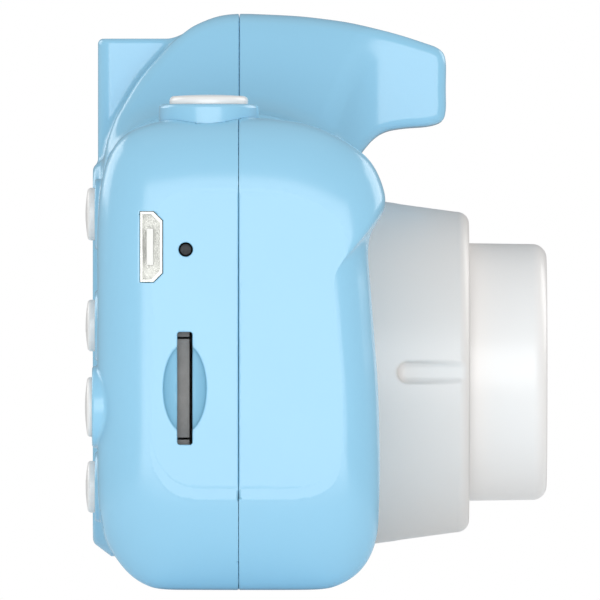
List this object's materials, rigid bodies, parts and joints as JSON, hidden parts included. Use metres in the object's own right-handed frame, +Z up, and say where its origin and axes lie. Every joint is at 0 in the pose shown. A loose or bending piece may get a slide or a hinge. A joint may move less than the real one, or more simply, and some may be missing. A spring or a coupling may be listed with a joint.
{
  "type": "children's digital camera",
  "caption": "Child's camera with a side grip, viewfinder hump, round fixed lens, rear display, press buttons, charging port and memory card slot.",
  "frame": {"origin": "on the base plane, under the optical axis, on the parting plane between the front and rear shells", "axes": "+Z up; the lens faces -Y; the grip, with the shutter button, is on the -X side; +Y is the display side"},
  "size_m": [0.0942, 0.052, 0.0648],
  "materials": {
    "blue_shell": "moulded, semi gloss",
    "white_plastic": "moulded, gloss",
    "black_plastic": "matte",
    "clear_window": "clear acrylic",
    "printed_window": "black printed acrylic",
    "display": "dark panel in a metal frame",
    "circuit_board": "solder mask",
    "chip": "moulded package",
    "switch": "moulded and metal capped",
    "connector_metal": "tin plated",
    "tongue": "moulded",
    "screw_steel": "zinc plated",
    "flat_cable": "polyimide",
    "wire_sleeve": "soft sleeve",
    "foam": "adhesive foam",
    "cell": "foil pouch",
    "led": "phosphor"
  },
  "bodies": {
    "camera": {"front_shell": "blue_shell", "rear_shell": "blue_shell", "shutter_collar": "blue_shell", "strap_eyelet": "blue_shell", "lens_base_ring": "white_plastic", "lens_tube": "white_plastic", "lens_inner_cone": "black_plastic", "camera_lens_barrel": "black_plastic", "camera_bracket": "black_plastic", "display_holder": "black_plastic", "rear_camera_module": "black_plastic", "rear_camera_bracket": "black_plastic", "speaker": "black_plastic", "lens_window": "clear_window", "camera_lens_glass": "clear_window", "flash_window": "clear_window", "display_window": "printed_window", "eyepiece_window": "printed_window", "display_module": "display", "camera_sensor_board": "circuit_board", "main_board": "circuit_board", "shutter_board": "circuit_board", "flash_board": "circuit_board", "main_chip": "chip", "key_switches": "switch", "shutter_switch": "switch", "reset_switch": "switch", "usb_port_shell": "connector_metal", "card_socket": "connector_metal", "microphone": "connector_metal", "usb_port_tongue": "tongue", "lens_ring_screws": "screw_steel", "camera_bracket_screws": "screw_steel", "shutter_board_screws": "screw_steel", "main_board_screws": "screw_steel", "flash_board_screws": "screw_steel", "shell_screws": "screw_steel", "camera_flex": "flat_cable", "display_flex": "flat_cable", "rear_camera_flex": "flat_cable", "shutter_wires": "wire_sleeve", "sound_wires": "wire_sleeve", "battery_wires": "wire_sleeve", "flash_wires": "wire_sleeve", "speaker_gasket": "foam", "battery_tape": "foam", "battery": "cell", "flash_led": "led"},
    "shutter": {"shutter_cap": "white_plastic"},
    "mode_key": {"mode_button": "white_plastic"},
    "power_key": {"power_button": "white_plastic"},
    "up_key": {"up_button": "white_plastic"},
    "left_key": {"left_button": "white_plastic"},
    "ok_key": {"ok_button": "white_plastic"},
    "right_key": {"right_button": "white_plastic"},
    "down_key": {"down_button": "white_plastic"},
    "reset_pin": {"reset_plunger": "switch"}
  },
  "joints": [
    {"name": "shutter_press", "type": "slide", "parent": "camera", "child": "shutter", "axis": [0, 0, -1], "range_m": [0, 0.0006], "stiffness_N_per_m": 20, "springref_m": -0.0006},
    {"name": "mode_press", "type": "slide", "parent": "camera", "child": "mode_key", "axis": [0, -1, 0], "range_m": [0, 0.0005], "stiffness_N_per_m": 10, "springref_m": -0.0005},
    {"name": "power_press", "type": "slide", "parent": "camera", "child": "power_key", "axis": [0, -1, 0], "range_m": [0, 0.0005], "stiffness_N_per_m": 10, "springref_m": -0.0005},
    {"name": "up_press", "type": "slide", "parent": "camera", "child": "up_key", "axis": [0, -1, 0], "range_m": [0, 0.0005], "stiffness_N_per_m": 10, "springref_m": -0.0005},
    {"name": "left_press", "type": "slide", "parent": "camera", "child": "left_key", "axis": [0, -1, 0], "range_m": [0, 0.0005], "stiffness_N_per_m": 10, "springref_m": -0.0005},
    {"name": "ok_press", "type": "slide", "parent": "camera", "child": "ok_key", "axis": [0, -1, 0], "range_m": [0, 0.0005], "stiffness_N_per_m": 10, "springref_m": -0.0005},
    {"name": "right_press", "type": "slide", "parent": "camera", "child": "right_key", "axis": [0, -1, 0], "range_m": [0, 0.0005], "stiffness_N_per_m": 10, "springref_m": -0.0005},
    {"name": "down_press", "type": "slide", "parent": "camera", "child": "down_key", "axis": [0, -1, 0], "range_m": [0, 0.0005], "stiffness_N_per_m": 10, "springref_m": -0.0005},
    {"name": "reset_press", "type": "slide", "parent": "camera", "child": "reset_pin", "axis": [1, 0, 0], "range_m": [0, 0.00025], "stiffness_N_per_m": 0.5, "springref_m": -0.00025}
  ]
}
